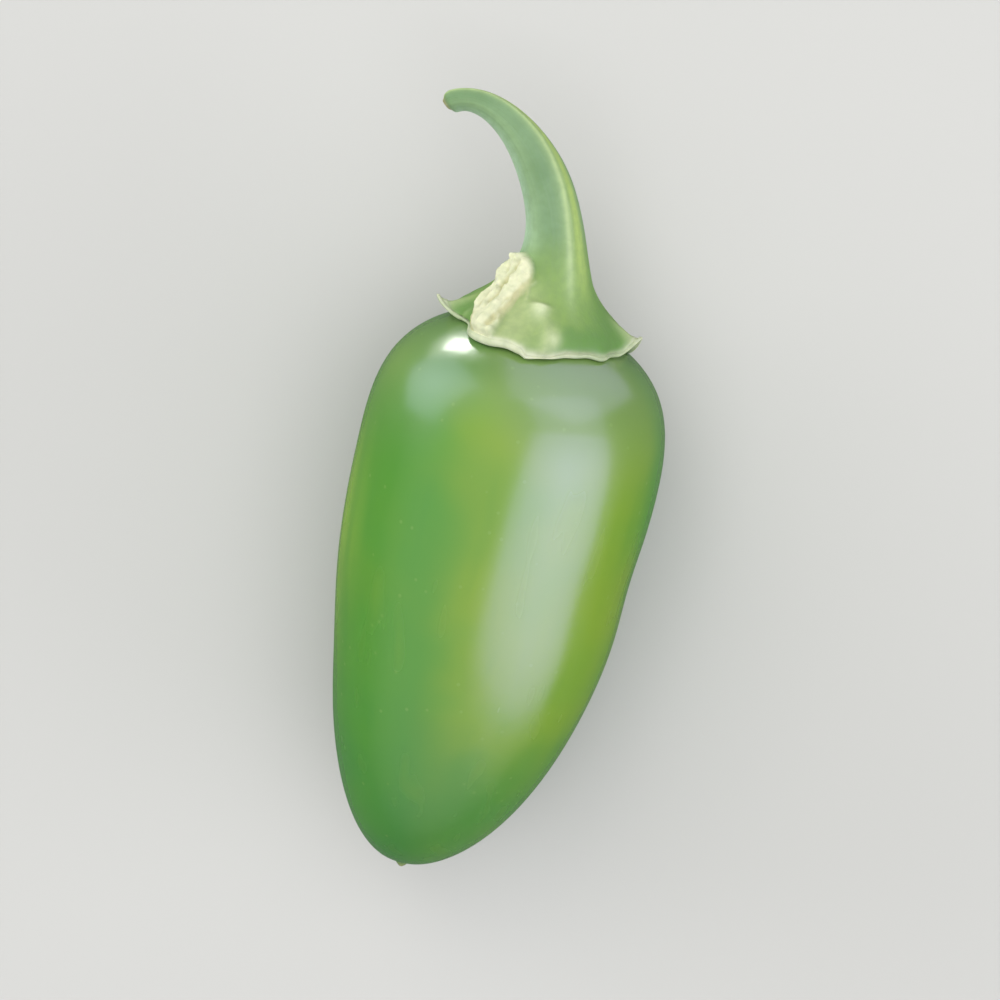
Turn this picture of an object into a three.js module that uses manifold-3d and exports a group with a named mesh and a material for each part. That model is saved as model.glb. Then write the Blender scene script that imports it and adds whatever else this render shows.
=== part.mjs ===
// A green chilli pepper as picked, lying on its side: the pod, and the stem with its toothed calyx.
// Millimetres, +Z up. The pod's axis runs along Y, with the stem towards +Y. The origin is the middle
// of the small flat spot that the pod rests on, under its weight.
import * as THREE from "three";
import { mergeVertices } from "three/addons/utils/BufferGeometryUtils.js";
import Module from "manifold-3d";

const wasm = await Module();
wasm.setup();

const degrees = THREE.MathUtils.degToRad;
const smoothstep = THREE.MathUtils.smoothstep;

// Pod
const POD_LENGTH = 66.5; // from the crown, which the calyx covers, to the tip
const POD_WIDTH = 34;
const WIDEST_AT = 0.3; // share of the length, counted from the crown
const SHOULDER_POWER = 3.75; // superellipse power above the widest place: over 2 makes square shoulders
const TAPER_POWER = 2; // and below it, where 2 is a plain ellipse
const TIP_LEAN = 1.9; // how far the tip bends to one side
const LEAN_POWER = 6; // how late the bend comes
const CHAMBERS = 3; // each chamber swells the wall a little
const CHAMBER_SWELL = 0.018; // share of the radius
const POD_SIDES = 48;
const POD_RINGS = 36;

// How it lies
const REST_AT = 0.43; // share of the length at which the underside lies level, below the centre of mass
const REST_DEPTH = 0.6; // how much of the underside the flat spot takes off
const GROUND = 200; // size of the block that cuts the flat spot

// Stem, which is measured along its own line from the rim of the calyx
const STEM_LENGTH = 32;
const NECK_WIDTH = 4.8;
const END_WIDTH = 2.1;
const TAPER_FROM = 15;
const HOOK_FROM = 5.8; // length at which the even bend begins
const HOOK_SWEEP = degrees(75); // even bend
const HOOK_CURL = degrees(66); // tighter bend on top of it, near the end
const CURL_POWER = 9; // how late that comes
const HOOK_DROP = 1.8; // how far the end dips below the plane of the hook
const DROP_POWER = 3; // how late the dip comes
const RIBS = 5;
const RIB_HEIGHT = 0.12; // share of the radius
const RIB_AT = degrees(30); // where the first rib starts
const RIB_TWIST = degrees(40); // how far the ribs wind round the stem
const RIBS_FROM = 3;
const RIBS_FULL = 9;
const COLLAR_SWELL = 0.15; // the knuckle where the stem came off the branch
const COLLAR_WIDTH = 1.6;
const END_HOLLOW = 0.3;
const STEM_SIDES = 60;
const STEM_RINGS = 32;
const RING_CROWDING = 1.25; // over 1 sets the rings closer near the rim

// Calyx
const CALYX_WIDTH = 20; // between the teeth
const EDGE_THICKNESS = 0.9;
const EDGE_ROUND = 0.25;
const FLARE_HEIGHT = 4; // height at which half of the flare is gone
const FLARE_POWER = 2;
const TEETH = [
  { turn: degrees(-84), reach: 2, lift: 1.8 }, // lift is how far the point stands off the pod
  { turn: degrees(6), reach: 0.3, lift: 0.2 },
  { turn: degrees(84), reach: 1.9, lift: 2 },
  { turn: degrees(150), reach: 1.3, lift: 1 },
  { turn: degrees(-144), reach: 1.5, lift: 1.5 },
];
const TOOTH_HALF_TURN = degrees(12);
const TOOTH_ROOT = 1; // how far up the calyx a tooth still shows
const RIM_WAVES = 7;
const RIM_WAVE = 0.2;
const RIM_SKEW = 0.8; // how far the rim reaches beyond its circle on two opposite sides
const SEAT_SHARES = [0.84, 0.66, 0.46, 0.24]; // rings of the underside, as shares of the rim's radius
const LIFTED_SHARE = 0.3; // how much of a tooth's lift the first of those rings keeps
const SEAT_GAP = 0.3; // between the calyx and the pod

// Half the pod's width at a share of its length.
function podRadius(share) {
  const below = share > WIDEST_AT;
  const away = below ? (share - WIDEST_AT) / (1 - WIDEST_AT) : 1 - share / WIDEST_AT;
  const power = below ? TAPER_POWER : SHOULDER_POWER;
  return (POD_WIDTH / 2) * Math.sqrt(Math.max(0, 1 - away ** power));
}

// A point of the pod's skin in the pod's own frame: crown at the origin, tip towards -Y.
// The turn is counted from the upper side, +Z, towards +X.
function podPoint(share, turn) {
  const swell = 1 + CHAMBER_SWELL * 4 * share * (1 - share) * Math.cos(CHAMBERS * (turn - Math.PI));
  const radius = podRadius(share) * swell;
  const lean = TIP_LEAN * share ** LEAN_POWER;
  return new THREE.Vector3(radius * Math.sin(turn) - lean, -POD_LENGTH * share, radius * Math.cos(turn));
}

// How far the crown has fallen away at a distance from the pod's axis.
function crownDrop(radius) {
  const inside = 1 - ((2 * radius) / POD_WIDTH) ** 2;
  return POD_LENGTH * WIDEST_AT * (1 - inside ** (1 / SHOULDER_POWER));
}

// One ring of points: place(turn) for each side.
function ring(sides, place) {
  return Array.from({ length: sides }, (_, side) => place((2 * Math.PI * side) / sides));
}

// A closed skin over rings of equal count that run towards -Y, with a point at each end.
function skinOver(first, rings, last) {
  const sides = rings[0].length;
  const points = [first, ...rings.flat(), last];
  const at = (row, side) => 1 + row * sides + (side % sides);
  const faces = [];
  for (let side = 0; side < sides; side++) {
    faces.push(0, at(0, side), at(0, side + 1));
    for (let row = 0; row + 1 < rings.length; row++) {
      faces.push(at(row, side), at(row + 1, side), at(row, side + 1));
      faces.push(at(row, side + 1), at(row + 1, side), at(row + 1, side + 1));
    }
    const end = rings.length - 1;
    faces.push(points.length - 1, at(end, side + 1), at(end, side));
  }
  return new THREE.BufferGeometry().setFromPoints(points).setIndex(faces);
}

function solidOf(geometry) {
  const bare = new THREE.BufferGeometry();
  bare.setAttribute("position", geometry.getAttribute("position"));
  bare.setIndex(geometry.index);
  const merged = mergeVertices(bare);
  const vertProperties = merged.getAttribute("position").array;
  const triVerts = new Uint32Array(merged.index.array);
  return new wasm.Manifold(new wasm.Mesh({ numProp: 3, vertProperties, triVerts }));
}

function geometryOf(solid) {
  const { vertProperties, triVerts } = solid.getMesh();
  const geometry = new THREE.BufferGeometry();
  geometry.setAttribute("position", new THREE.BufferAttribute(vertProperties, 3));
  geometry.setIndex(new THREE.BufferAttribute(triVerts, 1));
  geometry.computeVertexNormals();
  return geometry;
}

// The pose in which the underside lies level at REST_AT, with the ground at z = 0.
function restingGroup() {
  const step = 0.01;
  const towardsCrown = podPoint(REST_AT - step, Math.PI);
  const towardsTip = podPoint(REST_AT + step, Math.PI);
  const group = new THREE.Group();
  group.rotation.x = Math.atan2(towardsTip.z - towardsCrown.z, towardsCrown.y - towardsTip.y);
  const lowest = podPoint(REST_AT, Math.PI).applyEuler(group.rotation);
  group.position.copy(lowest).negate();
  group.position.z -= REST_DEPTH;
  group.updateMatrixWorld(true);
  return group;
}

// The pod, with its rings crowded at both ends, where it rounds over.
function podGeometry(pose) {
  const rings = [];
  for (let row = 1; row < POD_RINGS; row++) {
    const share = (1 - Math.cos((Math.PI * row) / POD_RINGS)) / 2;
    rings.push(ring(POD_SIDES, (turn) => podPoint(share, turn)));
  }
  const whole = solidOf(skinOver(podPoint(0, 0), rings, podPoint(1, 0)));
  const ground = new THREE.BoxGeometry(GROUND, GROUND, GROUND).translate(0, 0, -GROUND / 2);
  ground.applyMatrix4(pose.matrixWorld.clone().invert());
  return geometryOf(whole.subtract(solidOf(ground)));
}

// Where the stem heads at a length along it, away from +Y towards -X.
function stemHeading(length) {
  const sweep = HOOK_SWEEP * Math.max(0, (length - HOOK_FROM) / (STEM_LENGTH - HOOK_FROM));
  return sweep + HOOK_CURL * (length / STEM_LENGTH) ** CURL_POWER;
}

// A place on the middle line of the stem.
function stemPlace(length) {
  const steps = 64;
  const place = new THREE.Vector3(0, EDGE_THICKNESS + seatHeight(CALYX_WIDTH / 2), 0);
  for (let step = 0; step < steps; step++) {
    const turned = stemHeading((length * (step + 0.5)) / steps);
    place.x -= (Math.sin(turned) * length) / steps;
    place.y += (Math.cos(turned) * length) / steps;
  }
  place.z -= HOOK_DROP * (length / STEM_LENGTH) ** DROP_POWER;
  return place;
}

// Height of the calyx's underside above the crown.
function seatHeight(radius) {
  return SEAT_GAP - crownDrop(radius);
}

// How much of a tooth stands at a turn: 1 on its point, 0 beside it.
function toothShare(tooth, turn) {
  const away = Math.abs(Math.atan2(Math.sin(turn - tooth.turn), Math.cos(turn - tooth.turn)));
  return Math.max(0, 1 - away / TOOTH_HALF_TURN);
}

function rimRadius(turn) {
  const teeth = TEETH.reduce((sum, tooth) => sum + tooth.reach * toothShare(tooth, turn), 0);
  const skew = -RIM_SKEW * Math.sin(2 * turn);
  return CALYX_WIDTH / 2 + teeth + skew + RIM_WAVE * Math.cos(RIM_WAVES * turn);
}

function rimLift(turn) {
  return TEETH.reduce((sum, tooth) => sum + tooth.lift * toothShare(tooth, turn), 0);
}

// Half the stem's width, with its ribs and the knuckle at its end.
function stemRadius(length, turn) {
  const taper = smoothstep(length, TAPER_FROM, STEM_LENGTH);
  const width = THREE.MathUtils.lerp(NECK_WIDTH, END_WIDTH, taper);
  const collar = COLLAR_SWELL * Math.exp(-(((length - STEM_LENGTH) / COLLAR_WIDTH) ** 2));
  const ribAt = RIB_AT + RIB_TWIST * smoothstep(length, RIBS_FULL, STEM_LENGTH);
  const crest = ((1 + Math.cos(RIBS * (turn - ribAt))) / 2) ** 2;
  const ribs = RIB_HEIGHT * smoothstep(length, RIBS_FROM, RIBS_FULL) * (crest - 0.5);
  return (width / 2) * (1 + collar + ribs);
}

// One ring of the outside of the calyx and stem.
function outerRing(length) {
  const place = stemPlace(length);
  const heading = stemHeading(length);
  const sideways = new THREE.Vector3(Math.cos(heading), Math.sin(heading), 0);
  const flare = 1 / (1 + (length / FLARE_HEIGHT) ** FLARE_POWER);
  const rooted = Math.exp(-length / TOOTH_ROOT);
  return ring(STEM_SIDES, (turn) => {
    const stem = stemRadius(length, turn);
    const calyx = flare * (CALYX_WIDTH / 2 - NECK_WIDTH / 2);
    const beyond = rimRadius(turn) - CALYX_WIDTH / 2;
    const radius = stem + calyx + beyond * rooted;
    const drape = seatHeight(rimRadius(turn)) - seatHeight(CALYX_WIDTH / 2);
    const rise = (drape + rimLift(turn)) * rooted;
    const point = place.clone().addScaledVector(sideways, radius * Math.sin(turn));
    point.y += rise;
    point.z += radius * Math.cos(turn);
    return point;
  });
}

// One ring of the edge or the underside of the calyx, set in from the rim and raised off the seat.
function seatRing(share, inset, raise, liftShare) {
  return ring(STEM_SIDES, (turn) => {
    const radius = share * rimRadius(turn) - inset;
    const height = seatHeight(radius) + raise + rimLift(turn) * liftShare;
    return new THREE.Vector3(radius * Math.sin(turn), height, radius * Math.cos(turn));
  });
}

// The calyx and stem as one body: from the stem's end down to the rim, then in under the calyx.
function calyxAndStemGeometry() {
  const rings = [];
  for (let row = STEM_RINGS; row >= 0; row--) {
    rings.push(outerRing(STEM_LENGTH * (row / STEM_RINGS) ** RING_CROWDING));
  }
  rings.push(seatRing(1, -EDGE_ROUND, EDGE_THICKNESS / 2, 1));
  rings.push(seatRing(1, 0, 0, 1));
  SEAT_SHARES.forEach((share, row) => rings.push(seatRing(share, 0, 0, row === 0 ? LIFTED_SHARE : 0)));
  const end = stemPlace(STEM_LENGTH - END_HOLLOW);
  return geometryOf(solidOf(skinOver(end, rings, new THREE.Vector3(0, seatHeight(0), 0))));
}

const podSkin = new THREE.MeshStandardMaterial({ color: 0x619946, roughness: 0.32, metalness: 0 });
const stemSkin = new THREE.MeshStandardMaterial({ color: 0x94b77e, roughness: 0.6, metalness: 0 });

const pepper = restingGroup();

const pod = new THREE.Mesh(podGeometry(pepper), podSkin);
pod.name = "pod";
pepper.add(pod);

const calyxAndStem = new THREE.Mesh(calyxAndStemGeometry(), stemSkin);
calyxAndStem.name = "calyx_and_stem";
pepper.add(calyxAndStem);

export default pepper;
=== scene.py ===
# The looks of a green chilli pepper, as picked, lying on its side: its pod, and its calyx and stem.
import math
from math import radians

import bpy
import numpy as np
from mathutils import Matrix, Vector, noise


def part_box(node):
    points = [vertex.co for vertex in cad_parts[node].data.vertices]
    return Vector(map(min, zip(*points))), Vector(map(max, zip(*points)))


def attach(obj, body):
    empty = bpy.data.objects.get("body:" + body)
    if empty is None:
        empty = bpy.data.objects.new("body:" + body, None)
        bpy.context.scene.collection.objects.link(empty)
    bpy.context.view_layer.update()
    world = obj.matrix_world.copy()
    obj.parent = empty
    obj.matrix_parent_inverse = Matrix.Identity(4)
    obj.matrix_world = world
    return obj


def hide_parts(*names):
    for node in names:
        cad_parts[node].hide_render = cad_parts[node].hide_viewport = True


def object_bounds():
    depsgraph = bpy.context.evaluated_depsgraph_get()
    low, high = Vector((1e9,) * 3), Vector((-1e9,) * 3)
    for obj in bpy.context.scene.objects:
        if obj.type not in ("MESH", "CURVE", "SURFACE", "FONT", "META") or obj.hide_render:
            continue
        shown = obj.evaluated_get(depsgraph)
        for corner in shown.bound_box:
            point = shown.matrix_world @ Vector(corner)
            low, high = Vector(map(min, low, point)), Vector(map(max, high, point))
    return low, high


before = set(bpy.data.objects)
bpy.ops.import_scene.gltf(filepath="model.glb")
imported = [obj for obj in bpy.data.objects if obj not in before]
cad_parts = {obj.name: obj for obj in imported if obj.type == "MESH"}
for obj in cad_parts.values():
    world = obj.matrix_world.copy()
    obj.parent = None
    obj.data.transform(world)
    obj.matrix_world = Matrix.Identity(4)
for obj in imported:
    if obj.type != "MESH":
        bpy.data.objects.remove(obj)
cad_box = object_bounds()

MM = 0.001  # the shapes below are in millimetres, the scene in metres
SMALLEST = 1e-12  # keeps a length that is divided by from being zero
BODY = "root"

# Pod: the same form as the solid, in finer steps
POD_LENGTH = 66.5
POD_WIDTH = 34.0
WIDEST_AT = 0.3  # share of the length, from the crown
SHOULDER_POWER = 3.75
TAPER_POWER = 2.0
TIP_LEAN = 1.9
LEAN_POWER = 6.0
CHAMBERS = 3
CHAMBER_SWELL = 0.018
REST_AT = 0.43
REST_DEPTH = 0.6
REST_SOFTNESS = 0.3  # how gently the skin rolls into the patch it rests on
POD_SIDES = 192
POD_RINGS = 220

# Pod: the unevenness of grown skin, and the scar that the flower left
LUMP_SEED = 11
LUMP_COUNT = 7
LUMP_HEIGHT = 0.12
LUMP_HALF_WAVES = (0.8, 3.2)  # fewest and most along the pod
LUMP_WAVES_ROUND = (1, 5)  # fewest round the pod, and one more than the most
LUMPS_FROM, LUMPS_FULL = 0.05, 0.2  # shares of the length
DENTS = [  # share of the length, turn, depth, and its reach along and round the pod
    (0.41, radians(90), 0.6, 0.1, radians(45)),
    (0.62, radians(-90), 0.35, 0.12, radians(45)),
]
SCAR_RADIUS = 0.8
SCAR_HEIGHT = 0.9
SCAR_DIMPLE = 0.3
SCAR_DIMPLE_AT = 1.9

# Pod: where its colours and its painted light lie, in turns round it and shares of its length
SUNNY_TURN, SUNNY_DRIFT = radians(19), radians(28)  # the yellower side, which is painted light: at the crown, and on to the tip
SUNNY_FULL, SUNNY_FADED = radians(22), radians(64)
SUNNY_AT_TIP = 0.5  # its strength there
CROWN_FULL, CROWN_FADED = 0.04, 0.28  # the duller, greyer skin round the crown, partly painted haze of a reflection
CROWN_GAP_TURN, CROWN_GAP_WIDTH = radians(-13), radians(18)  # where it reaches less far down
CROWN_GAP = 0.13
PAINTED_SUNLIT_PATCHES = [  # painted sunlight, in yellow patches: share of the length, turn, strength, and the reach along and round the pod
    (0.4, radians(-75), 0.75, 0.2, radians(15)),
    (0.09, radians(-72), 0.6, 0.05, radians(24)),
]

# Stem, measured along its own line from the rim of the calyx
STEM_LENGTH = 32.0
NECK_WIDTH = 4.8
END_WIDTH = 2.1
TAPER_FROM = 15.0
HOOK_FROM = 5.8
HOOK_SWEEP = radians(75)
HOOK_CURL = radians(66)
CURL_POWER = 9
HOOK_DROP = 1.8
DROP_POWER = 3
MIDDLE_LINE_STEPS = 2000
RIBS = 5
RIB_HEIGHT = 0.12  # share of the stem's radius, as is the collar's swell
RIB_SINK = 0.3  # share of a rib's height that the skin between the ribs lies lower
RIB_AT = radians(30)
RIB_TWIST = radians(40)
RIBS_FROM, RIBS_FULL = 3.0, 9.0
LESSER_RIBS = 0.35  # height of the ribs away from the first, as a share of it
COLLAR_SWELL = 0.15
COLLAR_WIDTH = 1.6
STEM_SIDES = 240
STEM_RINGS = 240
RING_CROWDING = 1.25
END_ROUND = 1.0
END_CLOSING = 0.9  # how far the rounded end closes before the cut, where 1 is to a point
CUT_RINGS = [(0.3, 0.05), (0.6, 0.09), (0.9, 0.06)]  # share of the last ring's radius, height
STRIATION_SEED = 5
STRIATION_COUNTS = (17, 23, 31, 43)  # fine lengthwise lines round the stem
STRIATION_DEPTH = 0.005
STRIATION_DRIFT = 0.12  # most that they wind, in radians a millimetre
STRIATIONS_FROM = 0.5

# Calyx
CALYX_WIDTH = 20.0
EDGE_THICKNESS = 0.9
EDGE_MEAN, EDGE_GAIN = 0.69, 0.16  # shares of that thickness: the mean, and how much more it is to the left
EDGE_ROUND = 0.32
EDGE_STEPS = 8
FLARE_HEIGHT = 4.0
FLARE_POWER = 2.0
TEETH = [  # turn, reach, and how far the point stands off the pod
    (radians(-84), 1.5, 3.1),
    (radians(6), 0.3, 0.2),
    (radians(84), 1.4, 3.2),
    (radians(150), 1.5, 1.0),
    (radians(-144), 1.8, 1.5),
]
TOOTH_HALF_TURN = radians(15)
TOOTH_LIFT_POWER = 1.5
RAISED_LIFT = 1.0  # a tooth that stands off this far has a pale point
TOOTH_ROOT, LIFT_ROOT = 1.0, 0.7  # how far up the calyx a tooth's reach and its lift are felt
TOOTH_THINNING = 0.75
RIM_WAVES = [  # count, height, phase
    (2, 0.8, math.pi / 2),
    (7, 0.2, 0.0),
    (13, 0.1, 1.0),
    (19, 0.07, 2.2),
]
LIP_FROM, LIP_TO = radians(-52), radians(-4)  # the stretch of the rim that is curled up thick
LIP_RISE, LIP_STEP = 0.2, 0.06  # the turns, in radians, over which it starts and ends
LIP_HEIGHT = 0.18
LIP_LIFT = 0.3
NOTCH_TURN, NOTCH_WIDTH = radians(-60), radians(14)  # where the rim is cut back
NOTCH_DEPTH, NOTCH_THINNING = 2.2, 0.5
HOLLOW_TURN, HOLLOW_WIDTH = radians(-82), radians(30)  # the sunken flank above the left tooth
HOLLOW_AT, HOLLOW_DEPTH = 1.8, 0.7
SEAT_GAP = 0.12
SEAT_RINGS = [(0.95, 0.75), (0.84, 0.3), (0.66, 0), (0.46, 0), (0.24, 0)]  # shares of the rim's radius, lift
KEEL_HEIGHT = 0.45
KEEL_WIDTH = 0.9
KEEL_FULL, KEEL_LENGTH = 1.44, 3.6
WRINKLE_TURNS = [radians(turn) for turn in (-64, 104, 126, 176, -172, -118, -104)]
WRINKLE_HEIGHT = 0.09
WRINKLE_WIDTH = 0.5
WRINKLE_FULL, WRINKLE_LENGTH = 0.9, 3.0
RELIEF_FULL = 0.5  # how far in from the rim the relief is whole

# Knob at the head of the front keel, and the corky crest of the rib beside it
KNOB_AT, KNOB_TURN = 3.75, radians(-3)
KNOB_SIZE, KNOB_HEIGHT = 1.25, 0.7
KNOB_HEAD, KNOB_TAIL = 0.42, 1.4  # how far it reaches up and down the calyx
FOOT_AT, FOOT_TURN = 1.3, radians(12)  # a painted highlight at the foot of the keel
FOOT_SIZE = 0.8
CORK_TURN, CORK_LEAN = radians(-38), radians(-16)  # at the rim, and how far it leans up to its top
CORK_TOP = 8.8
CORK_HALF_WIDTH = 3.0
CORK_ENDS = 0.55  # its width at both ends, as a share
CORK_NARROWING, CORK_NARROWING_POWER = 0.8, 6  # of the top
CORK_HEIGHT = 0.75
CORK_GRAINS = [  # its folds, the lumps on them and its crumbs: size across and along, and strength
    (1.1, 3.6, 1.0),
    (0.7, 1.1, 0.6),
    (0.35, 0.5, 0.3),
]
CORK_SEED = 4.4
CORK_ROUGHNESS = 0.8
CORK_RAGGED, CORK_EDGE = 0.25, 0.3  # of the sides, as shares of the half width
CORK_TOP_RAGGED, CORK_TOP_EDGE = 0.5, 0.8

# Calyx and stem: where their colours, and the light and shade painted on them, lie
RIM_REACH, TIP_REACH = 0.35, 0.5  # how far up the calyx the rim and the tips of the teeth are pale
RIM_PALEST, RIM_PALEST_WIDTH = radians(-10), radians(50)
RIM_LEAST, TIP_PALER = 0.5, 0.4  # how pale the rim is at least, and what the tips add
CREST_WIDTH = radians(6)  # of the painted highlight along the first rib
STRIP_TURN, STRIP_WIDTH = radians(25), radians(20)  # the yellow band of painted light on the lit side of the first rib, measured from that rib
RIB_COLOUR_FROM = 2.0  # the ribs' colours are full where the ribs are
WRINKLE_PALENESS = 0.4  # of the painted light on the wrinkles, beside the keels' and the knob's, which are 1
FOOT_HIGHLIGHT_STRENGTH = 0.6
DEEP_TURN, DEEP_WIDTH = radians(68), radians(32)  # the right flank, painted a deeper green as shade
DEEP_FROM, DEEP_TO = 5.0, 12.0
FLANK_TURN, FLANK_WIDTH = radians(-85), radians(45)  # the inner side of the hook, painted paler as lit
FLANK_FROM, FLANK_FULL = 7.0, 11.0
HALO_TURN, HALO_WIDTH = radians(-20), radians(20)  # the paler skin beside the corky crest
HALO_FROM, HALO_TO = 3.0, 7.5
CUT_EDGE = 0.25  # how far its colour runs on to the skin


def smoothstep(value, low, high):
    share = np.clip((value - low) / (high - low), 0, 1)
    return share * share * (3 - 2 * share)


def bell(value, width):
    return np.exp(-((value / width) ** 2))


def turned_from(turn, start):
    """The signed turn from start, within half a turn each way."""
    return np.arctan2(np.sin(turn - start), np.cos(turn - start))


def grain(points):
    """Smooth noise from -1 to 1 at each point, with features about 1 across."""
    values = [noise.noise(Vector(place)) for place in points.reshape(-1, 3)]
    return np.array(values).reshape(points.shape[:-1])


def raised(points, heights):
    """Rings of points moved outwards along the normals of the skin over them."""
    along = np.gradient(points, axis=0)
    round_it = np.roll(points, -1, axis=1) - np.roll(points, 1, axis=1)
    normals = np.cross(along, round_it)
    normals /= np.linalg.norm(normals, axis=-1, keepdims=True) + SMALLEST
    return points + normals * heights[..., None]


def skin_over(name, first, rings, last, values, material, node):
    """A closed piece over rings of points, in millimetres, that stands for a CAD node.

    values maps the names of vertex attributes to numbers for the first point, the rings and the last point.
    """
    rows, sides = rings.shape[:2]
    points = np.concatenate([first[None], rings.reshape(-1, 3), last[None]]) * MM
    side = np.arange(sides)
    after = (side + 1) % sides
    start = 1 + np.arange(rows)[:, None] * sides
    corners = [start[:-1] + side, start[1:] + side, start[1:] + after, start[:-1] + after]
    faces = np.stack(corners, axis=-1).reshape(-1, 4).tolist()
    end = len(points) - 1
    faces += [(0, int(a), int(b)) for a, b in zip(start[0] + side, start[0] + after)]
    faces += [(end, int(b), int(a)) for a, b in zip(start[-1] + side, start[-1] + after)]
    mesh = bpy.data.meshes.new(name)
    mesh.from_pydata(points.tolist(), [], faces)
    mesh.shade_smooth()
    for key, (at_first, on_rings, at_last) in values.items():
        numbers = np.broadcast_to(on_rings, (rows, sides)).ravel()
        layer = mesh.attributes.new(key, "FLOAT", "POINT")
        layer.data.foreach_set("value", np.concatenate([[at_first], numbers, [at_last]]).astype(np.float32))
    mesh.materials.append(material)
    piece = bpy.data.objects.new(name, mesh)
    bpy.context.scene.collection.objects.link(piece)
    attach(piece, BODY)
    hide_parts(node)
    return piece


# Pod


def pod_radius(share):
    below = share > WIDEST_AT
    away = np.where(below, (share - WIDEST_AT) / (1 - WIDEST_AT), 1 - share / WIDEST_AT)
    power = np.where(below, TAPER_POWER, SHOULDER_POWER)
    return POD_WIDTH / 2 * np.sqrt(np.maximum(0, 1 - np.abs(away) ** power))


def pod_points(share, turn, proud=0.0):
    """Points of the skin in the pod's own frame: crown at the origin, tip towards -Y, turn from +Z to +X."""
    swell = 1 + CHAMBER_SWELL * 4 * share * (1 - share) * np.cos(CHAMBERS * (turn - np.pi))
    radius = pod_radius(share) * swell + proud
    lean = TIP_LEAN * share**LEAN_POWER
    along = -POD_LENGTH * share + 0 * turn
    return np.stack([radius * np.sin(turn) - lean, along, radius * np.cos(turn)], axis=-1)


def crown_drop(radius):
    """How far the crown has fallen away at a distance from the pod's axis."""
    inside = 1 - (2 * radius / POD_WIDTH) ** 2
    return POD_LENGTH * WIDEST_AT * (1 - inside ** (1 / SHOULDER_POWER))


def resting_pose():
    """The turn and the shift that lay the underside level at REST_AT, with the surface at z = 0."""
    step = 0.01
    crownward, tipward = (pod_points(REST_AT + away, np.pi) for away in (-step, step))
    tilt = Matrix.Rotation(math.atan2(tipward[2] - crownward[2], crownward[1] - tipward[1]), 4, "X")
    lowest = tilt @ Vector(pod_points(REST_AT, np.pi))
    return Matrix.Translation(-lowest - Vector((0, 0, REST_DEPTH))) @ tilt


POSE = np.array(resting_pose())


def posed(points):
    return points @ POSE[:3, :3].T + POSE[:3, 3]


def pod_lumps(share, turn):
    """Slow, shallow unevenness that fades out at both ends."""
    random = np.random.default_rng(LUMP_SEED)
    total = 0
    for _ in range(LUMP_COUNT):
        half_waves = random.uniform(*LUMP_HALF_WAVES)
        waves_round = random.integers(*LUMP_WAVES_ROUND)
        phase_along, phase_round = random.uniform(0, 2 * np.pi, 2)
        wave = np.cos(np.pi * half_waves * share + phase_along)
        total = total + wave * np.cos(waves_round * turn + phase_round)
    ends = np.sqrt(4 * share * (1 - share)) * smoothstep(share, LUMPS_FROM, LUMPS_FULL)
    return LUMP_HEIGHT * total * ends / math.sqrt(LUMP_COUNT)


def soft_patches(patches, share, turn):
    """The sum of DENTS, or of the patches of painted sunlight, over the skin."""
    total = 0
    for at, towards, strength, along, across in patches:
        total = total + strength * bell(share - at, along) * bell(turned_from(turn, towards), across)
    return total


def pod_crown(share, turn):
    """1 on the duller, greyer skin round the crown, partly painted haze of a reflection, fading to 0 down the
    pod.
    """
    gap = CROWN_GAP * bell(turned_from(turn, CROWN_GAP_TURN), CROWN_GAP_WIDTH)
    return 1 - smoothstep(share, CROWN_FULL, CROWN_FADED - gap)


def pod_painted_lit_side(share, turn):
    """1 along the yellower side, which is painted light, 0 away from it."""
    away = np.abs(turned_from(turn, SUNNY_TURN + SUNNY_DRIFT * share))
    return 1 - smoothstep(away, SUNNY_FULL, SUNNY_FADED)


def make_pod(material):
    row = np.arange(1, POD_RINGS)[:, None]
    share = (1 - np.cos(np.pi * row / POD_RINGS)) / 2
    turn = 2 * np.pi * np.arange(POD_SIDES)[None, :] / POD_SIDES
    rings = pod_points(share, turn, pod_lumps(share, turn) - soft_patches(DENTS, share, turn))
    at_tip = share > WIDEST_AT
    from_axis = pod_radius(share)
    scar = np.where(at_tip, bell(from_axis, SCAR_RADIUS), 0)
    dimple = np.where(at_tip, bell(from_axis - SCAR_DIMPLE_AT, SCAR_RADIUS), 0)
    rings[..., 1] += SCAR_DIMPLE * dimple - SCAR_HEIGHT * scar
    crown = pod_points(np.array(0.0), np.array(0.0))
    tip = pod_points(np.array(1.0), np.array(0.0)) - np.array([0, SCAR_HEIGHT, 0])
    rings = posed(rings)
    height = rings[..., 2]
    rings[..., 2] = (height + np.sqrt(height**2 + REST_SOFTNESS**2)) / 2
    values = {
        "share": (0, share, 1),
        # the crown's grey is partly painted haze, and the yellower side and the patches are painted light
        "crown": (1, pod_crown(share, turn), 0),
        "painted_lit_side": (0, pod_painted_lit_side(share, turn), SUNNY_AT_TIP),
        "painted_sunlit_patch": (0, soft_patches(PAINTED_SUNLIT_PATCHES, share, turn), 0),
        "scar": (0, scar, 1),
    }
    return skin_over("pod_skin", posed(crown), rings, posed(tip), values, material, "pod")


# Calyx and stem


def seat_height(radius):
    """Height of the calyx's underside above the crown."""
    return SEAT_GAP - crown_drop(radius)


def tooth_shares(turn):
    """For each tooth, how much of it stands at a turn: 1 on its point, 0 beside it."""
    away = [np.abs(turned_from(turn, at)) for at, _, _ in TEETH]
    return [np.maximum(0, 1 - gap / TOOTH_HALF_TURN) for gap in away]


def raised_tips(turn):
    """1 on the points of the teeth that stand off the pod, 0 beside them."""
    return sum(share for (_, _, lift), share in zip(TEETH, tooth_shares(turn)) if lift >= RAISED_LIFT)


def notch(turn):
    """1 in the middle of the rim's notch, 0 away from it."""
    return bell(turned_from(turn, NOTCH_TURN), NOTCH_WIDTH)


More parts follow.
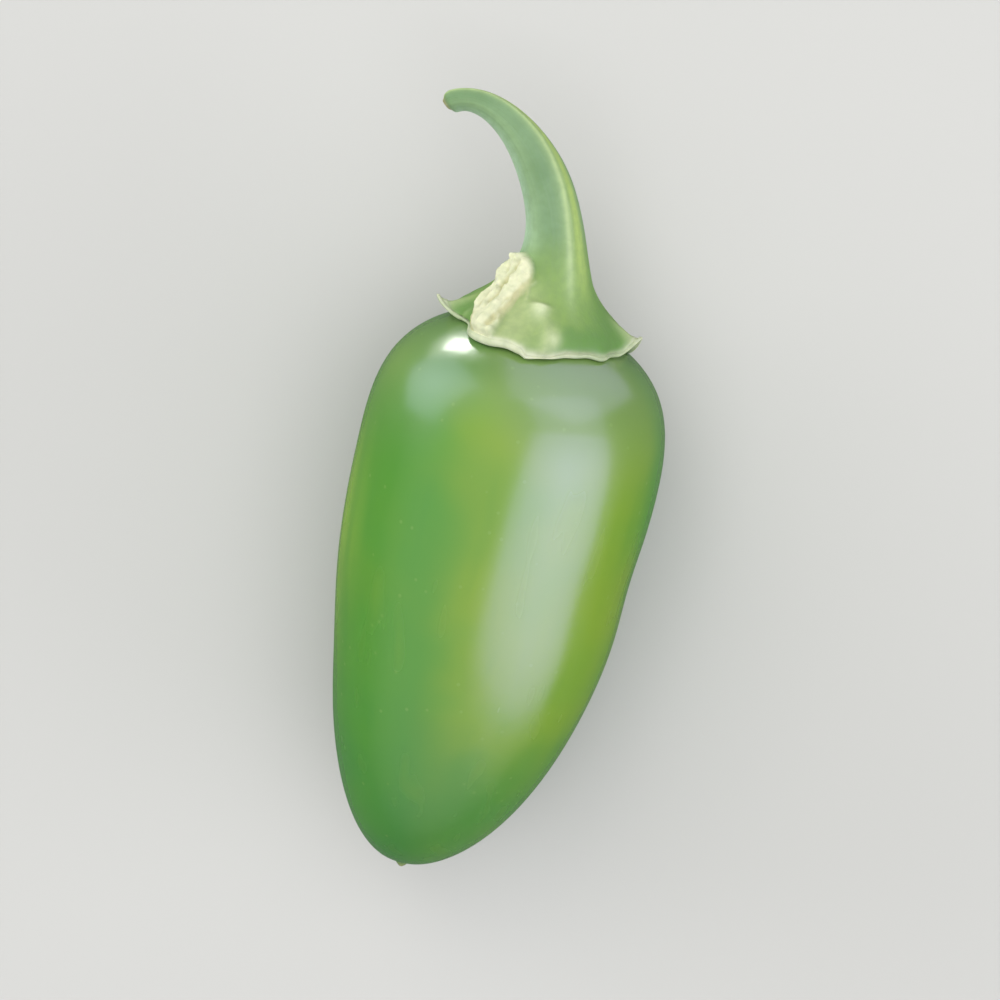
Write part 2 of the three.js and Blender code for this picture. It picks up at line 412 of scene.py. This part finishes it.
def rim_radius(turn):
    reach = sum(reach * share for (_, reach, _), share in zip(TEETH, tooth_shares(turn)))
    waves = sum(height * np.cos(count * turn + phase) for count, height, phase in RIM_WAVES)
    return CALYX_WIDTH / 2 + reach + waves - NOTCH_DEPTH * notch(turn)


def lip(turn):
    """1 on the stretch of the rim that is curled up, 0 elsewhere."""
    away = turned_from(turn, 0)
    started = smoothstep(away, LIP_FROM, LIP_FROM + LIP_RISE)
    return started * (1 - smoothstep(away, LIP_TO - LIP_STEP, LIP_TO))


def rim_lift(turn):
    shares = tooth_shares(turn)
    teeth = sum(lift * share**TOOTH_LIFT_POWER for (_, _, lift), share in zip(TEETH, shares))
    return teeth + LIP_LIFT * lip(turn)


def edge_thickness(turn):
    thinning = TOOTH_THINNING * sum(tooth_shares(turn)) + NOTCH_THINNING * notch(turn)
    remaining = 1 - np.minimum(TOOTH_THINNING, thinning)
    return EDGE_THICKNESS * (EDGE_MEAN - EDGE_GAIN * np.sin(turn)) * remaining + LIP_HEIGHT * lip(turn)


def stem_heading(length):
    """Where the stem heads, away from +Y towards -X."""
    sweep = HOOK_SWEEP * np.maximum(0, (length - HOOK_FROM) / (STEM_LENGTH - HOOK_FROM))
    return sweep + HOOK_CURL * (length / STEM_LENGTH) ** CURL_POWER


def stem_place(length):
    """Places on the stem's middle line."""
    fine = np.linspace(0, STEM_LENGTH, MIDDLE_LINE_STEPS + 1)
    middle = stem_heading((fine[1:] + fine[:-1]) / 2)
    aside = np.concatenate([[0], -np.cumsum(np.sin(middle)) * fine[1]])
    along = np.concatenate([[0], np.cumsum(np.cos(middle)) * fine[1]])
    along += EDGE_THICKNESS + seat_height(CALYX_WIDTH / 2)
    drop = -HOOK_DROP * (length / STEM_LENGTH) ** DROP_POWER
    return np.stack([np.interp(length, fine, aside), np.interp(length, fine, along), drop], axis=-1)


def from_first_rib(length, turn):
    """The signed turn from the rib that stands out most, which winds round the stem."""
    return turned_from(turn, RIB_AT + RIB_TWIST * smoothstep(length, RIBS_FULL, STEM_LENGTH))


def rib_crests(length, turn):
    away = from_first_rib(length, turn)
    strength = LESSER_RIBS + (1 - LESSER_RIBS) * bell(away, math.pi / RIBS)
    return strength * ((1 + np.cos(RIBS * away)) / 2) ** 2


def stem_radius(length, turn):
    width = NECK_WIDTH + (END_WIDTH - NECK_WIDTH) * smoothstep(length, TAPER_FROM, STEM_LENGTH)
    collar = COLLAR_SWELL * bell(length - STEM_LENGTH, COLLAR_WIDTH)
    ribs = RIB_HEIGHT * smoothstep(length, RIBS_FROM, RIBS_FULL) * (rib_crests(length, turn) - RIB_SINK)
    closing = np.clip(1 - (STEM_LENGTH - length) / END_ROUND, 0, END_CLOSING)
    return width / 2 * (1 + collar + ribs) * np.sqrt(1 - closing**2)


def calyx_radius(length):
    """Mean distance of the calyx's skin from the middle line."""
    flare = 1 / (1 + (length / FLARE_HEIGHT) ** FLARE_POWER)
    return NECK_WIDTH / 2 + flare * (CALYX_WIDTH - NECK_WIDTH) / 2


def hollow(length, turn):
    """How far the flank above the left tooth is sunken."""
    along = length / HOLLOW_AT * np.exp(1 - length / HOLLOW_AT)
    return HOLLOW_DEPTH * along * bell(turned_from(turn, HOLLOW_TURN), HOLLOW_WIDTH)


def outer_rings(length, turn):
    """The skin of the stem and the calyx, without its relief."""
    place = stem_place(length[:, 0])
    heading = stem_heading(length[:, 0])
    sideways = np.stack([np.cos(heading), np.sin(heading), 0 * heading], axis=-1)
    rooted, lifted = np.exp(-length / TOOTH_ROOT), np.exp(-length / LIFT_ROOT)
    radius = stem_radius(length, turn) + calyx_radius(length) - NECK_WIDTH / 2
    radius = radius + (rim_radius(turn) - CALYX_WIDTH / 2) * rooted
    drape = seat_height(rim_radius(turn)) - seat_height(CALYX_WIDTH / 2)
    points = place[:, None] + (radius * np.sin(turn))[..., None] * sideways[:, None]
    points[..., 1] += (drape + edge_thickness(turn) - EDGE_THICKNESS) * rooted + rim_lift(turn) * lifted
    points[..., 1] -= hollow(length, turn)
    points[..., 2] += radius * np.cos(turn)
    return points


def seat_rings(turn):
    """The rounded edge of the calyx, then its underside, which follows the crown of the pod."""
    rim = rim_radius(turn)
    lift = rim_lift(turn)
    rings = []
    for step in range(1, EDGE_STEPS + 1):
        angle = math.pi * step / EDGE_STEPS
        height = seat_height(rim) + lift + edge_thickness(turn) * (1 + math.cos(angle)) / 2
        rings.append((rim + EDGE_ROUND * math.sin(angle), height))
    for share, lifted in SEAT_RINGS:
        rings.append((share * rim, seat_height(share * rim) + lift * lifted))
    return np.stack([np.stack([r * np.sin(turn), h, r * np.cos(turn)], axis=-1) for r, h in rings])


def end_direction():
    heading = stem_heading(STEM_LENGTH)
    return np.array([-math.sin(heading), math.cos(heading), 0])


def cut_rings(last_ring):
    """The face where the stem came off the branch, from its middle out to the last ring of the skin."""
    middle = last_ring.mean(axis=0)
    heading = end_direction()
    rings = [middle + share * (last_ring - middle) + height * heading for share, height in CUT_RINGS]
    return np.stack(rings)


def striations(length, turn):
    random = np.random.default_rng(STRIATION_SEED)
    total = 0
    for count in STRIATION_COUNTS:
        drift = random.uniform(-STRIATION_DRIFT, STRIATION_DRIFT)
        phase = random.uniform(0, 2 * np.pi)
        total = total + np.cos(count * turn + drift * length + phase)
    return STRIATION_DEPTH * total * smoothstep(length, STRIATIONS_FROM, RIBS_FULL)


def lines_up_calyx(length, turn, turns, width, full, reach):
    """1 on the lines at these turns, from the rim as far as full, fading to 0 at reach."""
    lines = [bell(turned_from(turn, at) * calyx_radius(length), width) for at in turns]
    return sum(lines) * (1 - smoothstep(length, full, reach))


def keels(length, turn):
    """A line from each tooth up the calyx."""
    turns = [at for at, _, _ in TEETH]
    return lines_up_calyx(length, turn, turns, KEEL_WIDTH, KEEL_FULL, KEEL_LENGTH)


def wrinkles(length, turn):
    return lines_up_calyx(length, turn, WRINKLE_TURNS, WRINKLE_WIDTH, WRINKLE_FULL, WRINKLE_LENGTH)


def knob(length, turn):
    """1 on the head of a small dome, which is steep above and runs out towards the rim."""
    across = turned_from(turn, KNOB_TURN) * calyx_radius(length)
    upwards = length - KNOB_AT
    return bell(across, KNOB_SIZE) * bell(upwards, np.where(upwards > 0, KNOB_HEAD, KNOB_TAIL))


def foot(length, turn):
    across = turned_from(turn, FOOT_TURN) * calyx_radius(length)
    return bell(np.hypot(across, length - FOOT_AT), FOOT_SIZE)


def sunlit_cork_patch(length, turn):
    """1 on the corky crest and 0 away from it, with a ragged edge, and how its folds rise and fall. Its pale
    cream is partly corky tissue, partly painted sunlight.
    """
    across = turned_from(turn, CORK_TURN + CORK_LEAN * length / CORK_TOP) * calyx_radius(length)
    place = np.stack([across, length + 0 * turn, CORK_SEED + 0 * across], axis=-1)
    folds = sum(strength * grain(place / (wide, long, 1)) for wide, long, strength in CORK_GRAINS)
    upwards = np.clip(length / CORK_TOP, 0, 1)
    width = CORK_HALF_WIDTH * (CORK_ENDS + (1 - CORK_ENDS) * np.sin(np.pi * upwards))
    width = width * np.sqrt(1 - CORK_NARROWING * upwards**CORK_NARROWING_POWER)
    sides = smoothstep(1 - np.abs(across) / width + CORK_RAGGED * folds, 0, CORK_EDGE)
    top = smoothstep(CORK_TOP - length + CORK_TOP_RAGGED * folds, 0, CORK_TOP_EDGE)
    return sides * top, folds


def relief(length, turn, sunlit_cork, folds):
    """How far the low relief stands out of the skin."""
    heights = sunlit_cork * (CORK_HEIGHT + CORK_ROUGHNESS * folds) + striations(length, turn) * (1 - sunlit_cork)
    heights = heights + KNOB_HEIGHT * knob(length, turn)
    heights = heights + KEEL_HEIGHT * keels(length, turn) + WRINKLE_HEIGHT * wrinkles(length, turn)
    return heights * smoothstep(length, 0, RELIEF_FULL)


def stem_values(length, turn, sunlit_cork, folds):
    """What the colours follow: numbers on the skin and, where they aren't 0, on the cut and on the seat."""
    ribbed = smoothstep(length, RIB_COLOUR_FROM, RIBS_FULL)
    from_rib = from_first_rib(length, turn)
    tips = raised_tips(turn)
    palest = bell(turned_from(turn, RIM_PALEST), RIM_PALEST_WIDTH)
    rim = np.minimum(1, RIM_LEAST + (1 - RIM_LEAST) * palest + TIP_PALER * tips)
    # painted highlights: on the knob's head and at the keel's foot
    pale = knob(length, turn) ** 2 + FOOT_HIGHLIGHT_STRENGTH * foot(length, turn)
    # painted light along the keels and, fainter, the wrinkles
    keel = keels(length, turn) + WRINKLE_PALENESS * wrinkles(length, turn)
    # painted light on the hook's inner side
    flank = bell(turned_from(turn, FLANK_TURN), FLANK_WIDTH)
    halo = bell(turned_from(turn, HALO_TURN), HALO_WIDTH)
    # painted shade on the right flank
    painted_shade = bell(turned_from(turn, DEEP_TURN), DEEP_WIDTH)
    return {
        "along": (length, STEM_LENGTH),
        # painted highlight along the first rib, and fainter on the other ribs
        "crest": (bell(from_rib, CREST_WIDTH) * ribbed,),
        # painted light on the lit side beside the first rib
        "painted_lit_strip": (bell(from_rib - STRIP_TURN, STRIP_WIDTH) * ribbed,),
        "ribs": (rib_crests(length, turn) * ribbed,),
        "keel": (np.clip(keel, 0, 1),),
        "pale": (np.clip(pale, 0, 1),),
        "flank": (flank * smoothstep(length, FLANK_FROM, FLANK_FULL),),
        "halo": (halo * (1 - smoothstep(length, HALO_FROM, HALO_TO)),),
        "painted_shade": (painted_shade * (1 - smoothstep(length, DEEP_FROM, DEEP_TO)),),
        "rim": (rim * bell(length, RIM_REACH + TIP_REACH * tips), 0.0, rim[0]),
        "sunlit_cork": (sunlit_cork,),
        "folds": (folds,),
        "cut": (bell(length - STEM_LENGTH, CUT_EDGE), 1.0),
    }


def make_calyx_and_stem(material):
    row = np.arange(STEM_RINGS, -1, -1)[:, None]
    length = STEM_LENGTH * (row / STEM_RINGS) ** RING_CROWDING
    turn = 2 * np.pi * np.arange(STEM_SIDES)[None, :] / STEM_SIDES
    skin = outer_rings(length, turn)
    sunlit_cork, folds = sunlit_cork_patch(length, turn)
    cut = cut_rings(skin[0])
    seat = seat_rings(turn[0])
    rings = np.concatenate([cut, raised(skin, relief(length, turn, sunlit_cork, folds)), seat])
    end = skin[0].mean(axis=0) + CUT_RINGS[0][1] * end_direction()
    under = np.array([0, seat_height(0.0), 0])

    def over_piece(on_skin, on_cut=0.0, on_seat=0.0):
        """Numbers for the end, all the rings and the point under the calyx. on_seat may be a ring of them."""
        above = np.full((len(cut), STEM_SIDES), on_cut)
        whole = np.broadcast_to(on_skin, (len(length), STEM_SIDES))
        below = np.broadcast_to(on_seat, (len(seat), STEM_SIDES))
        return on_cut, np.concatenate([above, whole, below]), np.mean(on_seat)

    values = stem_values(length, turn, sunlit_cork, folds)
    values = {key: over_piece(*numbers) for key, numbers in values.items()}
    return skin_over(
        "calyx_and_stem_skin", posed(end), posed(rings), posed(under), values,
        material, "calyx_and_stem",
    )


# Materials


def new_material(name, finish):
    """A node material, its tree and its Principled shader, with the finish set on the shader's sockets."""
    material = bpy.data.materials.new(name)
    material.use_nodes = True
    shader = material.node_tree.nodes["Principled BSDF"]
    for key, value in finish.items():
        shader.inputs[key].default_value = value
    return material, material.node_tree, shader


def node(tree, kind, inputs=None, **settings):
    """A new node. An input that is a socket is linked, and any other is set."""
    made = tree.nodes.new(kind)
    for key, value in settings.items():
        setattr(made, key, value)
    for key, value in (inputs or {}).items():
        if isinstance(value, bpy.types.NodeSocket):
            tree.links.new(value, made.inputs[key])
        else:
            made.inputs[key].default_value = value
    return made


def attribute(tree, name):
    return node(tree, "ShaderNodeAttribute", attribute_name=name).outputs["Fac"]


def object_place(tree):
    return node(tree, "ShaderNodeTexCoord").outputs["Object"]


def noise_of(tree, scale, detail, stretch=(1, 1, 1)):
    """Noise over the object, from 0 to 1, with scale in features per metre."""
    mapped = node(tree, "ShaderNodeMapping", {"Vector": object_place(tree), "Scale": stretch})
    inputs = {"Vector": mapped.outputs["Vector"], "Scale": scale, "Detail": detail}
    return node(tree, "ShaderNodeTexNoise", inputs).outputs["Fac"]


def maths(tree, operation, first, second):
    return node(tree, "ShaderNodeMath", {0: first, 1: second}, operation=operation).outputs[0]


def spread(tree, value, low, high, to_low=0.0, to_high=1.0):
    """Value taken smoothly from low..high to to_low..to_high."""
    sizes = {"Value": value, "From Min": low, "From Max": high, "To Min": to_low, "To Max": to_high}
    return node(tree, "ShaderNodeMapRange", sizes, interpolation_type="SMOOTHSTEP").outputs["Result"]


NOISE_LOW, NOISE_MIDDLE, NOISE_HIGH = 0.3, 0.5, 0.7  # the range that most of a noise lies in
MIX_SHARE, MIX_FIRST, MIX_SECOND, MIX_RESULT = 0, 6, 7, 2  # sockets of a Mix node that mixes colours


def either_way(tree, value, reach):
    """Noise taken from its usual range to -reach..reach."""
    return spread(tree, value, NOISE_LOW, NOISE_HIGH, -reach, reach)


def mixed(tree, share, first, second):
    """The second colour over the first, by share. A colour is three numbers or a socket."""
    inputs = {MIX_SHARE: share}
    for key, value in ((MIX_FIRST, first), (MIX_SECOND, second)):
        inputs[key] = value if isinstance(value, bpy.types.NodeSocket) else (*value, 1)
    return node(tree, "ShaderNodeMix", inputs, data_type="RGBA").outputs[MIX_RESULT]


def bumped(tree, shader, height, strength, distance):
    bump = node(tree, "ShaderNodeBump", {"Height": height, "Strength": strength, "Distance": distance})
    tree.links.new(bump.outputs["Normal"], shader.inputs["Normal"])


POD_GREEN = (0.065, 0.23, 0.022)
POD_YELLOW = (0.178, 0.287, 0.014)
POD_DEEP = (0.04, 0.195, 0.03)
# the crown's duller, greyer skin, partly painted haze of a reflection
POD_CROWN_AND_HAZE = (0.125, 0.22, 0.075)
# painted sunlight: the yellow of the sunlit patches
POD_PAINTED_SUNLIGHT = (0.25, 0.41, 0.04)
POD_SPECK = (0.24, 0.38, 0.1)
SCAR_COLOUR = (0.36, 0.34, 0.16)
POD_FINISH = {
    "Subsurface Weight": 0.15,
    "Subsurface Radius": (0.8, 1.0, 0.3),
    "Subsurface Scale": 0.002,
    "Specular IOR Level": 0.75,
    "Coat Weight": 0.25,
    "Coat Roughness": 0.14,
}
POD_ROUGHNESS = (0.22, 0.28)
POD_PATCHES = (55, 2.0)  # a noise: features per metre, detail and, where it isn't even, its stretch
POD_STREAKS = (60, 1.5, (6, 0.7, 6))
POD_PEEL = (900, 2.0)
PEEL_BUMP = (0.02, 0.0004)  # strength and distance
SPECKS_PER_METRE = 420
SUNNY_PATCHINESS, TIP_PATCHINESS = 0.32, 0.15
STREAKED = (0.08, 0.3)  # shares of the length where the streaks start and are full
CROWN_SHARE = 0.75
YELLOW_SHARE = (0.0, 1.1, 0, 0.9)  # from two values to the shares of the colour there, as in those below
DEEP_SHARE = (0.5, 1.0, 0, 0.85)
PAINTED_SUNLIGHT_SHARE = (0.3, 0.6, 0.5, 1)
YELLOW_STREAK_SHARE = (0.55, 0.8, 0, 0.12)
DEEP_STREAK_SHARE = (0.45, 0.2, 0, 0.14)
SPECK_SHARE = (0.12, 0.05, 0, 0.22)


def pod_material():
    material, tree, shader = new_material("pod_skin", POD_FINISH)
    share = attribute(tree, "share")
    patches = noise_of(tree, *POD_PATCHES)
    streaks = maths(tree, "SUBTRACT", noise_of(tree, *POD_STREAKS), NOISE_MIDDLE)
    streaks = maths(tree, "MULTIPLY", streaks, spread(tree, share, *STREAKED))
    streaks = maths(tree, "ADD", streaks, NOISE_MIDDLE)
    # the yellower side: painted light round where the highlight falls
    painted_lit_side = maths(tree, "ADD", attribute(tree, "painted_lit_side"), either_way(tree, patches, SUNNY_PATCHINESS))
    colour = mixed(tree, spread(tree, painted_lit_side, *YELLOW_SHARE), POD_GREEN, POD_YELLOW)
    tipwards = maths(tree, "ADD", share, either_way(tree, patches, TIP_PATCHINESS))
    colour = mixed(tree, spread(tree, tipwards, *DEEP_SHARE), colour, POD_DEEP)
    # patches of painted sunlight
    painted_sunlit_patch = maths(tree, "MULTIPLY", attribute(tree, "painted_sunlit_patch"), spread(tree, streaks, *PAINTED_SUNLIGHT_SHARE))
    colour = mixed(tree, painted_sunlit_patch, colour, POD_PAINTED_SUNLIGHT)
    # the greyer crown: partly the skin's own dull tone, partly painted haze of a reflection
    crown = maths(tree, "MULTIPLY", attribute(tree, "crown"), CROWN_SHARE)
    colour = mixed(tree, crown, colour, POD_CROWN_AND_HAZE)
    colour = mixed(tree, spread(tree, streaks, *YELLOW_STREAK_SHARE), colour, POD_YELLOW)
    colour = mixed(tree, spread(tree, streaks, *DEEP_STREAK_SHARE), colour, POD_DEEP)
    dots = node(tree, "ShaderNodeTexVoronoi", {"Vector": object_place(tree), "Scale": SPECKS_PER_METRE})
    specks = spread(tree, dots.outputs["Distance"], *SPECK_SHARE)
    colour = mixed(tree, specks, colour, POD_SPECK)
    colour = mixed(tree, attribute(tree, "scar"), colour, SCAR_COLOUR)
    tree.links.new(colour, shader.inputs["Base Color"])
    rough = spread(tree, streaks, NOISE_LOW, NOISE_HIGH, *POD_ROUGHNESS)
    tree.links.new(rough, shader.inputs["Roughness"])
    bumped(tree, shader, noise_of(tree, *POD_PEEL), *PEEL_BUMP)
    return material


STEM_GREEN = (0.132, 0.232, 0.104)
STEM_PALE = (0.168, 0.275, 0.136)
STEM_SHADE = (0.12, 0.2, 0.08)
# painted light on the hook's inner side
FLANK_PAINTED_LIGHT = (0.37, 0.53, 0.36)
CALYX_GREEN = (0.19, 0.3, 0.075)
# the calyx's deeper green low down, and painted shade on its right flank
CALYX_DEEP_AND_SHADE = (0.094, 0.214, 0.043)
HALO_YELLOW = (0.34, 0.41, 0.19)
# painted light on the lit side beside the first rib
STRIP_PAINTED_LIGHT = (0.31, 0.43, 0.12)
# painted highlight along the first rib and, fainter, on the other ribs
RIDGE_PAINTED_HIGHLIGHT = (0.345, 0.46, 0.21)
# painted light along the keels and wrinkles
KEEL_PAINTED_LIGHT = (0.36, 0.44, 0.21)
# painted highlight on the knob's head and at the foot of the keel
KNOB_PAINTED_HIGHLIGHT = (0.6, 0.66, 0.41)
RIM_PALE = (0.52, 0.55, 0.39)
# the corky crest: pale cream partly painted sunlight, and painted shade in its creases
CORK_PAINTED_SUNLIGHT = (0.635, 0.645, 0.445)
CORK_CREASE_SHADE = (0.5, 0.49, 0.28)
CUT_PALE = (0.4, 0.42, 0.22)
CUT_DARK = (0.25, 0.22, 0.1)
# Most of these layers are painted light and shade: shade on the right flank, light on the hook's inner side,
# beside the first rib and along the keels, and highlights on the ribs and the knob
STEM_LAYERS = [  # vertex attribute, strength and colour, each over the ones before it
    ("painted_shade", 0.85, CALYX_DEEP_AND_SHADE),
    ("halo", 0.85, HALO_YELLOW),
    ("flank", 1.0, FLANK_PAINTED_LIGHT),
    ("painted_lit_strip", 1.0, STRIP_PAINTED_LIGHT),
    ("ribs", 0.3, RIDGE_PAINTED_HIGHLIGHT),
    ("crest", 1.0, RIDGE_PAINTED_HIGHLIGHT),
    ("keel", 0.7, KEEL_PAINTED_LIGHT),
    ("pale", 1.0, KNOB_PAINTED_HIGHLIGHT),
    ("rim", 1.0, RIM_PALE),
]
STEM_FINISH = {
    "Subsurface Weight": 0.1,
    "Subsurface Radius": (0.8, 1.0, 0.3),
    "Subsurface Scale": 0.001,
    "Specular IOR Level": 0.22,
}
STEM_ROUGHNESS = (0.5, 0.62)
CORK_ROUGHER = 0.3
STEM_PATCHES = (160, 3.0)
STEM_MOTTLE = (1100, 3.0)
STEM_LINES = (500, 3.0, (3, 0.35, 3))
LINES_BUMP = (0.15, 0.0005)
CALYX_PATCHINESS = 1.5  # millimetres along the stem
STEM_PALE_SHARE = (0.35, 0.65)
CALYX_GREEN_SHARE = (13, 4)  # from millimetres along the stem, as in the next
CALYX_DEEP_SHARE = (3.6, 0.6, 0, 0.8)
CORK_PALE_SHARE = (-0.35, 0.1)
CUT_PALE_SHARE = (0.35, 0.65)
SHADE_SHARE = (0.3, 0.7, 0, 0.22)


def stem_material():
    material, tree, shader = new_material("stem_skin", STEM_FINISH)
    patches = noise_of(tree, *STEM_PATCHES)
    mottle = noise_of(tree, *STEM_MOTTLE)
    colour = mixed(tree, spread(tree, patches, *STEM_PALE_SHARE), STEM_GREEN, STEM_PALE)
    along = maths(tree, "ADD", attribute(tree, "along"), either_way(tree, patches, CALYX_PATCHINESS))
    colour = mixed(tree, spread(tree, along, *CALYX_GREEN_SHARE), colour, CALYX_GREEN)
    colour = mixed(tree, spread(tree, along, *CALYX_DEEP_SHARE), colour, CALYX_DEEP_AND_SHADE)
    for name, strength, paint in STEM_LAYERS:
        colour = mixed(tree, maths(tree, "MULTIPLY", attribute(tree, name), strength), colour, paint)
    sunlit_cork = attribute(tree, "sunlit_cork")
    folds = attribute(tree, "folds")
    # the corky crest: painted sunlight on its folds and painted shade in its creases
    cork_light_and_shade = mixed(tree, spread(tree, folds, *CORK_PALE_SHARE), CORK_CREASE_SHADE, CORK_PAINTED_SUNLIGHT)
    colour = mixed(tree, sunlit_cork, colour, cork_light_and_shade)
    cut_colour = mixed(tree, spread(tree, mottle, *CUT_PALE_SHARE), CUT_DARK, CUT_PALE)
    colour = mixed(tree, attribute(tree, "cut"), colour, cut_colour)
    colour = mixed(tree, spread(tree, mottle, *SHADE_SHARE), colour, STEM_SHADE)
    tree.links.new(colour, shader.inputs["Base Color"])
    rough = spread(tree, patches, NOISE_LOW, NOISE_HIGH, *STEM_ROUGHNESS)
    rough = maths(tree, "ADD", rough, maths(tree, "MULTIPLY", sunlit_cork, CORK_ROUGHER))
    tree.links.new(rough, shader.inputs["Roughness"])
    bumped(tree, shader, noise_of(tree, *STEM_LINES), *LINES_BUMP)
    return material


# Camera, light and floor, in metres
CAMERA_TILT = radians(13)  # from straight above, towards the stem
CAMERA_ROLL = radians(12.4)
CAMERA_LENS = 135.0
FRAME_FILL = 0.8
WHITE = (1, 1, 1)
WARM = (1, 0.97, 0.88)
GLINT_COLOUR = (1, 1, 0.97)
LIGHTS = [  # name, direction, distance, size, watts, colour, spread in degrees, and what it shines on
    ("key", (0.05, 0.2, 0.97), 1.2, (1.4, 1.4), 9.5, WHITE, 180, "diffuse"),
    ("fill", (0.96, 0.0, 0.27), 1.2, (0.5, 1.2), 7, WHITE, 180, "diffuse"),
    ("left_fill", (-0.9, 0.35, 0.27), 1.2, (0.5, 1.2), 7.5, WHITE, 180, "diffuse"),
    ("sheen", (0.68, -0.18, 0.72), 1.0, (1.3, 1.25), 9.0, (0.54, 0.42, 1), 100, "glossy"),
    ("upper_sheen", (0.54, 0.64, 0.55), 1.0, (1.0, 0.8), 1.7, (0.55, 0.45, 1), 110, "glossy"),
    ("shoulder_sheen", (0.34, 0.93, 0.0), 1.0, (1.8, 1.2), 6.8, (0.61, 0.5, 1), 120, "glossy"),
    ("left_sheen", (-0.85, 0.5, 0.1), 1.0, (1.0, 1.0), 2.1, (0.62, 0.68, 1), 90, "glossy"),
    ("glint", (-0.46, 0.78, -0.42), 1.0, (0.24, 0.24), 4, GLINT_COLOUR, 180, "glossy"),
    ("glow", (-0.44, 0.78, -0.42), 1.0, (0.55, 0.55), 2, GLINT_COLOUR, 180, "glossy"),
    ("sun", (-0.4, 0.62, 0.66), 1.2, (0.6, 0.6), 2.4, WARM, 180, "diffuse"),
]
WORLD_LOW = (0.2, 0.22, 0.2)
WORLD_HIGH = (0.75, 0.75, 0.75)
WORLD_LOW_AT, WORLD_HIGH_AT = -0.1, 0.6  # heights on a sphere of radius 1
FLOOR_REACH = 12.0
FLOOR_COLOUR = (0.5, 0.5, 0.49)
CARD_COLOUR = (0.13, 0.17, 0.13)
CARD_HEIGHT = 0.0001
CARD_PAST_CROWN = 0.018
STAGE_FINISH = {"Roughness": 0.8, "Specular IOR Level": 0.0}


def make_camera():
    low, high = cad_box
    back = Vector((0, math.sin(CAMERA_TILT), math.cos(CAMERA_TILT)))
    up = Vector((-math.sin(CAMERA_ROLL), math.cos(CAMERA_ROLL), 0))
    up = (up - back * up.dot(back)).normalized()
    data = bpy.data.cameras.new("camera")
    data.lens = CAMERA_LENS
    camera = bpy.data.objects.new("camera", data)
    span = (high.y - low.y) / FRAME_FILL
    distance = span / 2 / math.tan(data.angle / 2)
    facing = Matrix((up.cross(back), up, back)).transposed().to_4x4()
    camera.matrix_world = Matrix.Translation((low + high) / 2 + back * distance) @ facing
    bpy.context.scene.collection.objects.link(camera)
    bpy.context.scene.camera = camera


def area_light(name, direction, distance, size, watts, colour, angle, shines_on):
    """A rectangular light that faces the origin, with its second side turned towards Y."""
    data = bpy.data.lights.new(name, "AREA")
    data.shape = "RECTANGLE"
    data.size, data.size_y = size
    data.energy = watts
    data.color = colour
    data.spread = radians(angle)
    light = bpy.data.objects.new(name, data)
    back = Vector(direction).normalized()
    side = Vector((0, 1, 0)).cross(back).normalized()
    facing = Matrix((side, back.cross(side), back)).transposed().to_4x4()
    light.matrix_world = Matrix.Translation(back * distance) @ facing
    light.visible_camera = False
    light.visible_diffuse = shines_on == "diffuse"
    light.visible_glossy = shines_on == "glossy"
    bpy.context.scene.collection.objects.link(light)


def make_world():
    """A soft light from all round, brighter from above."""
    world = bpy.data.worlds.new("studio")
    world.use_nodes = True
    tree = world.node_tree
    direction = node(tree, "ShaderNodeTexCoord").outputs["Generated"]
    height = node(tree, "ShaderNodeSeparateXYZ", {"Vector": direction}).outputs["Z"]
    sky = mixed(tree, spread(tree, height, WORLD_LOW_AT, WORLD_HIGH_AT), WORLD_LOW, WORLD_HIGH)
    tree.links.new(sky, tree.nodes["Background"].inputs["Color"])
    bpy.context.scene.world = world


def stage_sheet(name, far, height, colour):
    """A wide level sheet of the stage, which ends at far along Y."""
    material, _, shader = new_material(name, STAGE_FINISH)
    shader.inputs["Base Color"].default_value = (*colour, 1)
    mesh = bpy.data.meshes.new(name)
    near = -FLOOR_REACH
    outline = [(-FLOOR_REACH, near), (FLOOR_REACH, near), (FLOOR_REACH, far), (-FLOOR_REACH, far)]
    mesh.from_pydata([(x, y, height) for x, y in outline], [], [(0, 1, 2, 3)])
    mesh.materials.append(material)
    sheet = bpy.data.objects.new(name, mesh)
    bpy.context.scene.collection.objects.link(sheet)
    return sheet


def make_floor():
    """A pale floor that lets the low lights through to the gloss, and a dark card on it that shows in
    reflections alone, up to a little past the crown, and keeps those lights off the pod's underside."""
    floor = stage_sheet("floor", FLOOR_REACH, 0.0, FLOOR_COLOUR)
    floor.visible_glossy = False
    card = stage_sheet("card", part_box("pod")[1].y + CARD_PAST_CROWN, CARD_HEIGHT, CARD_COLOUR)
    card.visible_camera = False
    card.visible_diffuse = False
    card.visible_shadow = False


bpy.context.scene.view_settings.view_transform = "Standard"
make_camera()
for light_values in LIGHTS:
    area_light(*light_values)
make_world()
make_floor()
make_pod(pod_material())
make_calyx_and_stem(stem_material())
